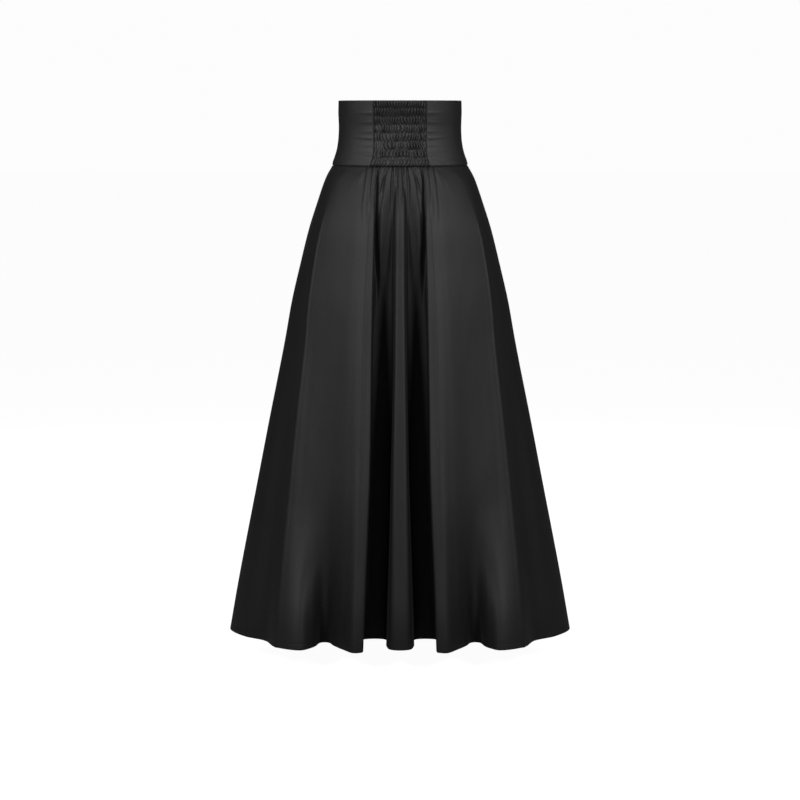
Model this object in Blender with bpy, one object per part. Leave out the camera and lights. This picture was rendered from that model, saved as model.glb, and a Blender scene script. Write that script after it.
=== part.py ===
"""A high-waisted maxi skirt, filled out as it is worn, with nobody in it.

Metres, +Z up. The origin is the middle of the waist, at the narrowest ring of the waistband, and
the shown side faces -Y. Every panel is a slab of cells bent between an outer and an inner wall:
the sections are ellipses in the waistband, and curves through named fold lines in the skirt.
"""

import math
from collections import namedtuple

import bmesh
import bpy

OBJECT_NAME = "maxi_skirt"

# Driving heights.
WAISTBAND_TOP = 0.0520
WAIST_SEAM = -0.0740
HEM = -1.0075

# Cloth.
SKIRT_WALL = 0.0015
WAISTBAND_WALL = 0.0025
SEAM_GAP = 0.0003

# Outline of the waistband: half width at the sides, depth to the front and to the back.
Section = namedtuple("Section", "z half_width front back")
WAISTBAND_SECTIONS = (
    Section(WAISTBAND_TOP, 0.1213, 0.0940, 0.0965),
    Section(0.0300, 0.1215, 0.0925, 0.0950),
    Section(0.0000, 0.1208, 0.0900, 0.0940),
    Section(-0.0200, 0.1216, 0.0905, 0.0950),
    Section(-0.0400, 0.1242, 0.0925, 0.0985),
    Section(-0.0560, 0.1287, 0.0958, 0.1030),
    Section(-0.0680, 0.1329, 0.0988, 0.1068),
    Section(WAIST_SEAM, 0.1341, 0.0998, 0.1078),
)

# Outline of the skirt: it springs out below the seam, rounds over the hip and then flares evenly.
SKIRT_SECTIONS = (
    Section(WAIST_SEAM, 0.1334, 0.0992, 0.1071),
    Section(-0.0800, 0.1363, 0.1016, 0.1098),
    Section(-0.0900, 0.1422, 0.1052, 0.1156),
    Section(-0.1000, 0.1471, 0.1083, 0.1205),
    Section(-0.1120, 0.1518, 0.1116, 0.1250),
    Section(-0.1450, 0.1630, 0.1190, 0.1350),
    Section(-0.2000, 0.1805, 0.1290, 0.1470),
    Section(-0.2700, 0.1980, 0.1370, 0.1570),
    Section(-0.3450, 0.2154, 0.1470, 0.1670),
    Section(-0.4200, 0.2290, 0.1570, 0.1780),
    Section(-0.5800, 0.2614, 0.1800, 0.2010),
    Section(-0.7000, 0.2850, 0.1980, 0.2170),
    Section(-0.9100, 0.3262, 0.2270, 0.2300),
    Section(HEM, 0.3436, 0.2410, 0.2350),
)

# Heights at which the fold lines are placed.
Heights = namedtuple("Heights", "seam hip thigh knee hem")
FOLD_HEIGHTS = Heights(WAIST_SEAM, -0.2000, -0.4200, -0.7000, HEM)

# A fold line runs from the seam to the hem. The seam column is the distance from the middle; the
# others are (distance from the middle, depth towards that panel's face). Both halves are alike.
FoldLine = namedtuple("FoldLine", "name seam hip thigh knee hem")
FRONT_FOLDS = (
    FoldLine("centre_crest", 0.0000, (0.0000, 0.1270), (0.0000, 0.1510), (0.0000, 0.1830), (0.0000, 0.2180)),
    FoldLine("centre_shoulder", 0.0025, (0.0066, 0.1258), (0.0092, 0.1497), (0.0138, 0.1808), (0.0200, 0.2095)),
    FoldLine("centre_edge", 0.0045, (0.0104, 0.1215), (0.0130, 0.1380), (0.0184, 0.1600), (0.0272, 0.1790)),
    FoldLine("recess_inner", 0.0090, (0.0150, 0.1065), (0.0160, 0.0950), (0.0205, 0.0970), (0.0315, 0.1180)),
    FoldLine("recess_outer", 0.0340, (0.0440, 0.1120), (0.0540, 0.0945), (0.0622, 0.0970), (0.0710, 0.1190)),
    FoldLine("flute_lip", 0.0405, (0.0490, 0.1180), (0.0547, 0.1480), (0.0594, 0.1880), (0.0712, 0.2250)),
    FoldLine("flute_edge", 0.0440, (0.0512, 0.1240), (0.0560, 0.1556), (0.0608, 0.1958), (0.0740, 0.2360)),
    FoldLine("flute_crest", 0.0520, (0.0610, 0.1278), (0.0725, 0.1582), (0.0790, 0.2010), (0.0900, 0.2412)),
    FoldLine("flute_flank", 0.0640, (0.0800, 0.1232), (0.0945, 0.1505), (0.1020, 0.1905), (0.1140, 0.2060)),
    FoldLine("valley", 0.0800, (0.1060, 0.1115), (0.1250, 0.1340), (0.1400, 0.1675), (0.1490, 0.1510)),
    FoldLine("outer_flank", 0.0940, (0.1280, 0.1000), (0.1490, 0.1210), (0.1650, 0.1555), (0.1730, 0.1950)),
    FoldLine("outer_crest", 0.1060, (0.1440, 0.0900), (0.1690, 0.1100), (0.1900, 0.1450), (0.1940, 0.2165)),
    FoldLine("outer_edge", 0.1160, (0.1560, 0.0800), (0.1850, 0.1000), (0.2150, 0.1330), (0.2420, 0.1890)),
    FoldLine("side_front", 0.1240, (0.1680, 0.0585), (0.2050, 0.0710), (0.2400, 0.0980), (0.2661, 0.1310)),
    FoldLine("side_middle", 0.1303, (0.1765, 0.0310), (0.2215, 0.0370), (0.2690, 0.0600), (0.3083, 0.0860)),
    FoldLine("side_seam", 0.1334, (0.1805, 0.0000), (0.2290, 0.0000), (0.2850, 0.0000), (0.3436, 0.0000)),
)
BACK_FOLDS = (
    FoldLine("centre_crest", 0.0000, (0.0000, 0.1470), (0.0000, 0.1780), (0.0000, 0.2150), (0.0000, 0.2350)),
    FoldLine("centre_flank", 0.0260, (0.0330, 0.1445), (0.0380, 0.1740), (0.0420, 0.2030), (0.0460, 0.2120)),
    FoldLine("valley", 0.0520, (0.0660, 0.1380), (0.0760, 0.1640), (0.0860, 0.1840), (0.0950, 0.1760)),
    FoldLine("flute_flank", 0.0760, (0.0980, 0.1260), (0.1140, 0.1540), (0.1280, 0.1800), (0.1400, 0.1880)),
    FoldLine("flute_crest", 0.0960, (0.1260, 0.1070), (0.1500, 0.1370), (0.1720, 0.1720), (0.1840, 0.2080)),
    FoldLine("flute_edge", 0.1110, (0.1480, 0.0850), (0.1790, 0.1100), (0.2090, 0.1380), (0.2260, 0.1730)),
    FoldLine("side_valley", 0.1220, (0.1640, 0.0600), (0.2020, 0.0780), (0.2390, 0.0930), (0.2640, 0.1060)),
    FoldLine("side_flute", 0.1300, (0.1760, 0.0310), (0.2200, 0.0420), (0.2690, 0.0560), (0.3130, 0.0700)),
    FoldLine("side_seam", 0.1334, (0.1805, 0.0000), (0.2290, 0.0000), (0.2850, 0.0000), (0.3436, 0.0000)),
)

# Gathers of the front below the seam: a ridge leans from seam_x to low_x over its first stretch, is
# full at a share of its reach, and then fades until its reach. A slant of 0 is a flat top, and
# another slant moves the crest that share of the half width towards the outer edge.
Gather = namedtuple(
    "Gather",
    "name seam_x low_x leans_over reach seam_height full_height full_at seam_half_width full_half_width slant",
)
LEAN_EASE = 1.05
FLANK_SHARE = 0.6
SLANT_BOW = 0.35
GATHERS = (
    Gather("middle", 0.0000, 0.0000, 0.050, 0.120, 0.0030, 0.0030, 0.15, 0.0034, 0.0044, 0.0),
    Gather("thin", 0.0098, 0.0102, 0.030, 0.050, 0.0030, 0.0018, 0.15, 0.0032, 0.0036, 0.0),
    Gather("long", 0.0190, 0.0290, 0.090, 0.260, 0.0034, 0.0064, 0.60, 0.0065, 0.0155, 0.6),
    Gather("puff", 0.0325, 0.0430, 0.055, 0.058, 0.0030, 0.0016, 0.20, 0.0080, 0.0055, 0.0),
    Gather("flute_inner", 0.0492, 0.0548, 0.060, 0.120, 0.0030, 0.0020, 0.30, 0.0042, 0.0050, 0.0),
    Gather("flute_outer", 0.0592, 0.0695, 0.075, 0.140, 0.0026, 0.0016, 0.30, 0.0052, 0.0062, 0.0),
)

# Both panels hang in a little over the last stretch above the hem, except by the side seams.
HEM_HANG = 0.0110
HEM_HANG_REACH = 0.0950
HEM_HANG_FADE_FOLDS = 2.0

# The shirred panel: rows of elastic stitching part channels, each full of upright puckers.
SHIRRED_HALF_WIDTH_TOP = 0.0520
SHIRRED_HALF_WIDTH_SEAM = 0.0590
SHIRRED_FLARE_FROM = -0.045
CHANNELS = 8
PUCKERS_ACROSS = 22
PUCKER_HEIGHT = 0.0032
PUCKER_FOOT = 0.0004

# Cells of the walls.
GATHERED_CELLS = 4
PLAIN_CELLS = 2
BACK_CELLS = 2
FRONT_ROWS = 16
BACK_ROWS = 12
ROW_CROWDING = 1.6
BAND_ROWS = 6
BAND_FRONT_CELLS = 7
BAND_BACK_CELLS = 20
GATHERED_FOLDS = 7

BLACK_CLOTH = (0.030, 0.030, 0.032, 1.0)


# ---------------------------------------------------------------- curves

def smooth_value(z, heights, values):
    """Value at height z of the smooth curve through the values, which never overshoots them."""
    rows = sorted(zip(heights, values))
    xs = [row[0] for row in rows]
    ys = [row[1] for row in rows]
    z = min(max(z, xs[0]), xs[-1])
    spans = [b - a for a, b in zip(xs, xs[1:])]
    slopes = [(b - a) / span for a, b, span in zip(ys, ys[1:], spans)]
    tangents = [slopes[0]]
    for before, after in zip(slopes, slopes[1:]):
        rising = before * after > 0.0
        tangents.append(2.0 * before * after / (before + after) if rising else 0.0)
    tangents.append(slopes[-1])
    i = max(k for k in range(len(spans)) if z >= xs[k])
    t = (z - xs[i]) / spans[i]
    start = (1 + 2 * t) * (1 - t) ** 2 * ys[i] + t * (1 - t) ** 2 * spans[i] * tangents[i]
    end = t * t * (3 - 2 * t) * ys[i + 1] + t * t * (t - 1) * spans[i] * tangents[i + 1]
    return start + end


def outline(sections, z):
    """Half width, front depth and back depth of an outline at height z."""
    heights = [section.z for section in sections]
    return [smooth_value(z, heights, [section[k] for section in sections]) for k in (1, 2, 3)]


def bend(before, start, end, after, t):
    """Point at t, from 0 to 1, on the even-handed curve from start to end past four points."""
    points = (before, start, end, after)
    knots = [0.0]
    for a, b in zip(points, points[1:]):
        knots.append(knots[-1] + max(math.dist(a, b), 1e-6) ** 0.5)
    at = knots[1] + t * (knots[2] - knots[1])
    level = list(points)
    for order in (1, 2, 3):
        raised = []
        for k in range(len(level) - 1):
            low = knots[k] if order < 3 else knots[1]
            high = knots[k + order] if order < 3 else knots[2]
            share = (at - low) / (high - low)
            raised.append(tuple((1 - share) * a + share * b for a, b in zip(level[k], level[k + 1])))
        level = raised
    return level[0]


def rounded_bump(distance, half_width):
    """A soft ridge: 1 on its line, 0 at half_width and beyond."""
    share = min(abs(distance) / half_width, 1.0)
    return 0.5 + 0.5 * math.cos(math.pi * share)


def ridge_height(distance, half_width, slant):
    """Height of a gather across its line, 1 at its crest and 0 at half_width: flat-topped, or
    with a slant rising slowly to a crest that far towards its outer edge."""
    share = distance / half_width
    if slant:
        flank = min((1.0 + share) / (1.0 + slant), (1.0 - share) / (1.0 - slant))
        return max(flank, 0.0) * (1.0 + SLANT_BOW - SLANT_BOW * flank)
    flank = min(max(1.0 - abs(share), 0.0) / FLANK_SHARE, 1.0)
    return flank * flank * (3.0 - 2.0 * flank)


# ---------------------------------------------------------------- skirt form

class SkirtPanel:
    """The form of one skirt panel: u counts the fold lines from the middle, negative to the left."""

    def __init__(self, folds, forward):
        self.folds = folds
        self.forward = forward
        self.last = len(folds) - 1
        self.plans = {}

    def plan(self, z):
        """Places of the fold lines at height z, as (distance from the middle, depth)."""
        if z in self.plans:
            return self.plans[z]
        half_width, front, back = outline(SKIRT_SECTIONS, z)
        depth = front if self.forward else back
        station_widths = []
        station_depths = []
        for height in FOLD_HEIGHTS:
            width, ahead, behind = outline(SKIRT_SECTIONS, height)
            station_widths.append(width)
            station_depths.append(ahead if self.forward else behind)
        places = []
        for fold in self.folds:
            around = math.sqrt(max(0.0, 1.0 - (fold.seam / station_widths[0]) ** 2))
            stations = [(fold.seam, station_depths[0] * around)] + list(fold[2:])
            across = [x / width for (x, _), width in zip(stations, station_widths)]
            inward = [y / reach for (_, y), reach in zip(stations, station_depths)]
            x = half_width * smooth_value(z, FOLD_HEIGHTS, across)
            y = depth * smooth_value(z, FOLD_HEIGHTS, inward)
            places.append((x, y))
        self.plans[z] = places
        return places

    def curve(self, u, z):
        """Point of the main form at fold count u, as (x, depth)."""
        places = self.plan(z)
        side = -1.0 if u < 0 else 1.0
        past_seam = abs(u) > self.last
        count = 2 * self.last - abs(u) if past_seam else abs(u)
        i = min(int(count), self.last - 1)
        before = places[i - 1] if i > 0 else (-places[1][0], places[1][1])
        beyond = places[i + 2] if i + 2 <= self.last else (places[-2][0], -places[-2][1])
        x, depth = bend(before, places[i], places[i + 1], beyond, count - i)
        return side * x, -depth if past_seam else depth

    def relief(self, x, z):
        """Height of the gathers that stand out of the front below the seam."""
        if not self.forward:
            return 0.0
        below = max(WAIST_SEAM - z, 0.0)
        height = 0.0
        for gather in GATHERS:
            if below >= gather.reach:
                continue
            share = below / gather.reach
            grown = min(share / gather.full_at, 1.0)
            lean = 1.0 - (1.0 - min(below / gather.leans_over, 1.0)) ** LEAN_EASE
            line = gather.seam_x + (gather.low_x - gather.seam_x) * lean
            crest = gather.seam_height + (gather.full_height - gather.seam_height) * grown
            fading = rounded_bump(max(share - gather.full_at, 0.0), 1.0 - gather.full_at)
            span = gather.seam_half_width + (gather.full_half_width - gather.seam_half_width) * grown
            height += crest * fading * ridge_height(abs(x) - line, span, gather.slant)
        return height

    def hang(self, u, z):
        """How far the cloth hangs in towards the middle of the skirt, close above the hem."""
        low = max(0.0, 1.0 - (z - HEM) / HEM_HANG_REACH)
        from_side = (self.last - abs(u)) / HEM_HANG_FADE_FOLDS
        return HEM_HANG * low**2 * rounded_bump(max(1.0 - from_side, 0.0), 1.0)

    def face(self, u, z):
        """Point of the panel's face, in plan, gathers and the hang of the hem included."""
        step = 0.02
        x, depth = self.curve(u, z)
        out_x, out_depth = outward(self.curve(u - step, z), self.curve(u + step, z))
        height = self.relief(x, z)
        return x + out_x * height, depth + out_depth * height - self.hang(u, z)

    def point(self, u, z, inset):
        """Point of the wall in space: on the face, or inset below it in its own section."""
        step = 0.04
        x, depth = self.face(u, z)
        out_x, out_depth = outward(self.face(u - step, z), self.face(u + step, z))
        facing = -1.0 if self.forward else 1.0
        y = depth - out_depth * inset + SEAM_GAP / 2
        return (x - out_x * inset, facing * y, z)


def outward(left, right):
    """Unit direction out of the cloth, in plan, where left and right are points along the face."""
    run_x = right[0] - left[0]
    run_depth = right[1] - left[1]
    length = math.hypot(run_x, run_depth)
    return -run_depth / length, run_x / length


# ---------------------------------------------------------------- waistband form

def shirred_edge(z):
    """Half width of the shirred panel: even above, a little wider towards the seam."""
    share = (SHIRRED_FLARE_FROM - z) / (SHIRRED_FLARE_FROM - WAIST_SEAM)
    share = max(0.0, share)
    return SHIRRED_HALF_WIDTH_TOP + (SHIRRED_HALF_WIDTH_SEAM - SHIRRED_HALF_WIDTH_TOP) * share ** 1.5


def waistband_point(angle, z, raised, forward=True):
    """Point at an angle round the waist from the middle, raised out of the outline or sunk in it."""
    half_width, front, back = outline(WAISTBAND_SECTIONS, z)
    depth = front if forward else back
    across = math.sin(angle)
    along = math.cos(angle)
    out_x = across / half_width
    out_depth = along / depth
    length = math.hypot(out_x, out_depth)
    x = half_width * across + raised * out_x / length
    y = depth * along + raised * out_depth / length + SEAM_GAP / 2
    return (x, -y if forward else y, z)


def waist_angle(x, z):
    """Angle round the waist at which the outline is x from the middle."""
    return math.asin(x / outline(WAISTBAND_SECTIONS, z)[0])


def pucker(column, row, z_share):
    """Height of the shirred cloth at a column and row of its cells."""
    if row % 2 == 0 or column in (0, 2 * PUCKERS_ACROSS):
        return PUCKER_FOOT
    channel = row // 2
    if (column + channel) % 2 == 0:
        return PUCKER_FOOT
    unevenness = 0.5 + 0.5 * math.sin(2.3 * column + 5.1 * channel)
    return PUCKER_HEIGHT * (0.72 + 0.28 * unevenness) * (0.9 + 0.1 * z_share)


# ---------------------------------------------------------------- panels as objects

def black_material(name, roughness):
    """Plain black cloth."""
    material = bpy.data.materials.new(name + "_cloth")
    material.use_nodes = True
    shader = material.node_tree.nodes["Principled BSDF"]
    shader.inputs["Base Color"].default_value = BLACK_CLOTH
    shader.inputs["Roughness"].default_value = roughness
    shader.inputs["Metallic"].default_value = 0.0
    return material


def bent_slab(name, collection, columns, rows, place, roughness):
    """A closed wall of columns by rows of cells. place(column, row, outer) gives each corner."""
    shape = bmesh.new()
    bmesh.ops.create_grid(shape, x_segments=columns, y_segments=rows, size=1.0)
    bmesh.ops.triangulate(shape, faces=shape.faces[:], quad_method="FIXED")
    outer = bmesh.ops.extrude_face_region(shape, geom=shape.faces[:])["geom"]
    outer_corners = {item for item in outer if isinstance(item, bmesh.types.BMVert)}
    bmesh.ops.translate(shape, verts=list(outer_corners), vec=(0.0, 0.0, 1.0))
    bmesh.ops.recalc_face_normals(shape, faces=shape.faces[:])
    for corner in shape.verts:
        column = round((corner.co.x + 1.0) * 0.5 * columns)
        row = round((1.0 - corner.co.y) * 0.5 * rows)
        corner.co = place(column, row, corner in outer_corners)
    if shape.calc_volume(signed=True) < 0.0:
        bmesh.ops.reverse_faces(shape, faces=shape.faces[:])
    mesh = bpy.data.meshes.new(name)
    shape.to_mesh(mesh)
    shape.free()
    mesh.shade_smooth()
    mesh.set_sharp_from_angle(angle=math.radians(50.0))
    mesh.materials.append(black_material(name, roughness))
    panel = bpy.data.objects.new(name, mesh)
    collection.objects.link(panel)
    return panel


def skirt_fold_counts(folds, crowded_folds, crowded_cells, plain_cells):
    """Fold counts of a panel's columns, from the left side seam to the right one."""
    half = []
    for i in range(len(folds) - 1):
        cells = crowded_cells if i < crowded_folds else plain_cells
        half += [i + k / cells for k in range(cells)]
    half.append(float(len(folds) - 1))
    return [-u for u in reversed(half[1:])] + half


def skirt_panel(name, collection, form, counts, rows):
    """One skirt panel, with its rows crowded towards the waist seam."""
    top = WAIST_SEAM - SEAM_GAP
    heights = [top + (HEM - top) * (row / rows) ** ROW_CROWDING for row in range(rows + 1)]

    def place(column, row, outer):
        return form.point(counts[column], heights[row], 0.0 if outer else SKIRT_WALL)

    return bent_slab(name, collection, len(counts) - 1, rows, place, 0.55)


def shirred_panel(name, collection):
    """The elasticated middle of the waistband: puckers stand out of a plain wall."""
    columns = 2 * PUCKERS_ACROSS
    rows = 2 * CHANNELS

    def place(column, row, outer):
        share = row / rows
        z = WAISTBAND_TOP + (WAIST_SEAM - WAISTBAND_TOP) * share
        edge = waist_angle(shirred_edge(z) - SEAM_GAP / 2, z)
        angle = edge * (2.0 * column / columns - 1.0)
        return waistband_point(angle, z, pucker(column, row, share) if outer else -WAISTBAND_WALL)

    return bent_slab(name, collection, columns, rows, place, 0.6)


def waistband_front(name, collection, side):
    """The plain panel between the shirred panel and the side seam, on one side."""

    def place(column, row, outer):
        z = WAISTBAND_TOP + (WAIST_SEAM - WAISTBAND_TOP) * row / BAND_ROWS
        start = waist_angle(shirred_edge(z) + SEAM_GAP / 2, z)
        angle = start + (0.5 * math.pi - start) * column / BAND_FRONT_CELLS
        return waistband_point(side * angle, z, 0.0 if outer else -WAISTBAND_WALL)

    return bent_slab(name, collection, BAND_FRONT_CELLS, BAND_ROWS, place, 0.5)


def waistband_back(name, collection):
    """The plain back of the waistband, from side seam to side seam."""

    def place(column, row, outer):
        z = WAISTBAND_TOP + (WAIST_SEAM - WAISTBAND_TOP) * row / BAND_ROWS
        angle = math.pi * (column / BAND_BACK_CELLS - 0.5)
        return waistband_point(angle, z, 0.0 if outer else -WAISTBAND_WALL, forward=False)

    return bent_slab(name, collection, BAND_BACK_CELLS, BAND_ROWS, place, 0.5)


def main():
    """Clears the scene and builds every panel in the object's own collection."""
    for leftover in list(bpy.data.objects):
        bpy.data.objects.remove(leftover, do_unlink=True)
    collection = bpy.data.collections.new(OBJECT_NAME)
    bpy.context.scene.collection.children.link(collection)

    shirred_panel("waistband_shirred_panel", collection)
    waistband_front("waistband_front_left", collection, -1.0)
    waistband_front("waistband_front_right", collection, 1.0)
    waistband_back("waistband_back", collection)

    front = SkirtPanel(FRONT_FOLDS, forward=True)
    front_counts = skirt_fold_counts(FRONT_FOLDS, GATHERED_FOLDS, GATHERED_CELLS, PLAIN_CELLS)
    skirt_panel("skirt_front", collection, front, front_counts, FRONT_ROWS)

    back = SkirtPanel(BACK_FOLDS, forward=False)
    back_counts = skirt_fold_counts(BACK_FOLDS, 0, BACK_CELLS, BACK_CELLS)
    skirt_panel("skirt_back", collection, back, back_counts, BACK_ROWS)


main()
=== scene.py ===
"""The looks of a black high-waisted maxi skirt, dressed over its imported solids.

Metres, +Z up. The origin is the middle of the waist and the shown side faces -Y. Each panel is one
sheet of cloth that follows its solid's form, with the finer creases, turned edges and stitches that
the solid leaves out. The skirt panels are lofted through named fold lines, and the waistband through
ellipses with puckers and drag lines raised on them.
"""

import logging
import math
from dataclasses import dataclass
from enum import Enum
from typing import NamedTuple, Sequence

import bmesh
import bpy
from mathutils import Matrix, Vector, noise


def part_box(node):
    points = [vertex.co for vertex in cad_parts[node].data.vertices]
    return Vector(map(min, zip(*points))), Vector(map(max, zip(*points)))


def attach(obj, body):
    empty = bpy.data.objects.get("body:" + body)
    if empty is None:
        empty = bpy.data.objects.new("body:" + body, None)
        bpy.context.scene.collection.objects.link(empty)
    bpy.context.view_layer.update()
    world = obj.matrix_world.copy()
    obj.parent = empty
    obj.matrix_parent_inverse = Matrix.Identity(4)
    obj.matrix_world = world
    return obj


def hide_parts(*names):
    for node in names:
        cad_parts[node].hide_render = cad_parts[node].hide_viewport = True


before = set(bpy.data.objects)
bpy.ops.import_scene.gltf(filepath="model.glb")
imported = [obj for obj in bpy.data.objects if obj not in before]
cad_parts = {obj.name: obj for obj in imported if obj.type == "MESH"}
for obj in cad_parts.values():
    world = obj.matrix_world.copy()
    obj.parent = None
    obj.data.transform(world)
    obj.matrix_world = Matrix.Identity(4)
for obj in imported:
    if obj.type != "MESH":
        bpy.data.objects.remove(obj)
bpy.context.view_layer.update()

LOG = logging.getLogger("maxi_skirt")
BODY = "root"

# Driving heights, the thickness of the cloth and the gap that its sheets keep at their seams.
WAISTBAND_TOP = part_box("waistband_back")[1].z
WAIST_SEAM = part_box("waistband_back")[0].z
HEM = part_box("skirt_front")[0].z
CLOTH = 0.0006
SEAM_GAP = 0.00004

Plan = tuple[float, float]
Grid = list[list[Vector]]


class Side(Enum):
    """The two faces of the garment: the shown one and the hidden one."""

    FRONT = -1.0
    BACK = 1.0


class Hand(Enum):
    """Left and right as seen from the shown side."""

    LEFT = -1.0
    RIGHT = 1.0


class Slot(Enum):
    """The record's material slots."""

    SKIRT = "skirt_cloth"
    WAISTBAND = "waistband_cloth"
    SHIRRED = "shirred_cloth"


class Held(Enum):
    """How a sheet of cloth is held."""

    GATHERED = "gathered"
    HUNG = "hung"


class Section(NamedTuple):
    """Outline at a height: half width at the sides, depth to the front and to the back."""

    z: float
    half_width: float
    front: float
    back: float


class Heights(NamedTuple):
    """Heights at which the fold lines are placed."""

    seam: float
    hip: float
    thigh: float
    knee: float
    hem: float


class FoldLine(NamedTuple):
    """A fold from seam to hem: distance from the middle, then (distance, depth) at each height."""

    name: str
    seam: float
    hip: Plan
    thigh: Plan
    knee: Plan
    hem: Plan


class Gather(NamedTuple):
    """A ridge below the seam, or with negative heights a trough.

    It leans from seam_x to low_x over its first stretch, is full at a share of its reach, and then
    fades until its reach. With a slant its crest stands towards its outer edge, and without one its
    top is flat.
    """

    name: str
    seam_x: float
    low_x: float
    leans_over: float
    reach: float
    seam_height: float
    full_height: float
    full_at: float
    seam_half_width: float
    full_half_width: float
    slant: float


class EdgeLine(NamedTuple):
    """A fold line that stands up as a narrow ridge, from one height down to another."""

    fold: str
    top: float
    low: float
    height: float
    half_width: float


class Crease(NamedTuple):
    """A soft ridge, or with a negative height a trough, that fades out from its start to its end."""

    name: str
    start: Plan
    end: Plan
    height: float
    half_width: float


class DragLine(NamedTuple):
    """A fold that the elastic draws across a waistband panel, out from the shirred edge."""

    z: float
    length: float
    height: float
    half_width: float
    fall: float


# The plain outline of the waistband and of the skirt, which the solids follow too.
WAISTBAND_SECTIONS = (
    Section(WAISTBAND_TOP, 0.1213, 0.0940, 0.0965),
    Section(0.0300, 0.1215, 0.0925, 0.0950),
    Section(0.0000, 0.1208, 0.0900, 0.0940),
    Section(-0.0200, 0.1216, 0.0905, 0.0950),
    Section(-0.0400, 0.1242, 0.0925, 0.0985),
    Section(-0.0560, 0.1287, 0.0958, 0.1030),
    Section(-0.0680, 0.1329, 0.0988, 0.1068),
    Section(WAIST_SEAM, 0.1341, 0.0998, 0.1078),
)
SKIRT_SECTIONS = (
    Section(WAIST_SEAM, 0.1334, 0.0992, 0.1071),
    Section(-0.0800, 0.1363, 0.1016, 0.1098),
    Section(-0.0900, 0.1422, 0.1052, 0.1156),
    Section(-0.1000, 0.1471, 0.1083, 0.1205),
    Section(-0.1120, 0.1518, 0.1116, 0.1250),
    Section(-0.1450, 0.1630, 0.1190, 0.1350),
    Section(-0.2000, 0.1805, 0.1290, 0.1470),
    Section(-0.2700, 0.1980, 0.1370, 0.1570),
    Section(-0.3450, 0.2154, 0.1470, 0.1670),
    Section(-0.4200, 0.2290, 0.1570, 0.1780),
    Section(-0.5800, 0.2614, 0.1800, 0.2010),
    Section(-0.7000, 0.2850, 0.1980, 0.2170),
    Section(-0.9100, 0.3262, 0.2270, 0.2300),
    Section(HEM, 0.3436, 0.2410, 0.2350),
)
# The fold lines, from the middle out to the side seam.
FOLD_HEIGHTS = Heights(WAIST_SEAM, -0.2000, -0.4200, -0.7000, HEM)
FRONT_FOLDS = (
    FoldLine("centre_crest", 0.0000, (0.0000, 0.1270), (0.0000, 0.1510), (0.0000, 0.1830), (0.0000, 0.2180)),
    FoldLine("centre_shoulder", 0.0025, (0.0066, 0.1258), (0.0092, 0.1497), (0.0138, 0.1808), (0.0200, 0.2095)),
    FoldLine("centre_edge", 0.0045, (0.0104, 0.1215), (0.0130, 0.1380), (0.0184, 0.1600), (0.0272, 0.1790)),
    FoldLine("recess_inner", 0.0090, (0.0150, 0.1065), (0.0160, 0.0950), (0.0205, 0.0970), (0.0315, 0.1180)),
    FoldLine("recess_outer", 0.0340, (0.0440, 0.1120), (0.0540, 0.0945), (0.0622, 0.0970), (0.0710, 0.1190)),
    FoldLine("flute_lip", 0.0405, (0.0490, 0.1180), (0.0547, 0.1480), (0.0594, 0.1880), (0.0712, 0.2250)),
    FoldLine("flute_edge", 0.0440, (0.0512, 0.1240), (0.0560, 0.1556), (0.0608, 0.1958), (0.0740, 0.2360)),
    FoldLine("flute_crest", 0.0520, (0.0610, 0.1278), (0.0725, 0.1582), (0.0790, 0.2010), (0.0900, 0.2412)),
    FoldLine("flute_flank", 0.0640, (0.0800, 0.1232), (0.0945, 0.1505), (0.1020, 0.1905), (0.1140, 0.2060)),
    FoldLine("valley", 0.0800, (0.1060, 0.1115), (0.1250, 0.1340), (0.1400, 0.1675), (0.1490, 0.1510)),
    FoldLine("outer_flank", 0.0940, (0.1280, 0.1000), (0.1490, 0.1210), (0.1650, 0.1555), (0.1730, 0.1950)),
    FoldLine("outer_crest", 0.1060, (0.1440, 0.0900), (0.1690, 0.1100), (0.1900, 0.1450), (0.1940, 0.2165)),
    FoldLine("outer_edge", 0.1160, (0.1560, 0.0800), (0.1850, 0.1000), (0.2150, 0.1330), (0.2420, 0.1890)),
    FoldLine("side_front", 0.1240, (0.1680, 0.0585), (0.2050, 0.0710), (0.2400, 0.0980), (0.2661, 0.1310)),
    FoldLine("side_middle", 0.1303, (0.1765, 0.0310), (0.2215, 0.0370), (0.2690, 0.0600), (0.3083, 0.0860)),
    FoldLine("side_seam", 0.1334, (0.1805, 0.0000), (0.2290, 0.0000), (0.2850, 0.0000), (0.3436, 0.0000)),
)
BACK_FOLDS = (
    FoldLine("centre_crest", 0.0000, (0.0000, 0.1470), (0.0000, 0.1780), (0.0000, 0.2150), (0.0000, 0.2350)),
    FoldLine("centre_flank", 0.0260, (0.0330, 0.1445), (0.0380, 0.1740), (0.0420, 0.2030), (0.0460, 0.2120)),
    FoldLine("valley", 0.0520, (0.0660, 0.1380), (0.0760, 0.1640), (0.0860, 0.1840), (0.0950, 0.1760)),
    FoldLine("flute_flank", 0.0760, (0.0980, 0.1260), (0.1140, 0.1540), (0.1280, 0.1800), (0.1400, 0.1880)),
    FoldLine("flute_crest", 0.0960, (0.1260, 0.1070), (0.1500, 0.1370), (0.1720, 0.1720), (0.1840, 0.2080)),
    FoldLine("flute_edge", 0.1110, (0.1480, 0.0850), (0.1790, 0.1100), (0.2090, 0.1380), (0.2260, 0.1730)),
    FoldLine("side_valley", 0.1220, (0.1640, 0.0600), (0.2020, 0.0780), (0.2390, 0.0930), (0.2640, 0.1060)),
    FoldLine("side_flute", 0.1300, (0.1760, 0.0310), (0.2200, 0.0420), (0.2690, 0.0560), (0.3130, 0.0700)),
    FoldLine("side_seam", 0.1334, (0.1805, 0.0000), (0.2290, 0.0000), (0.2850, 0.0000), (0.3436, 0.0000)),
)
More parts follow.
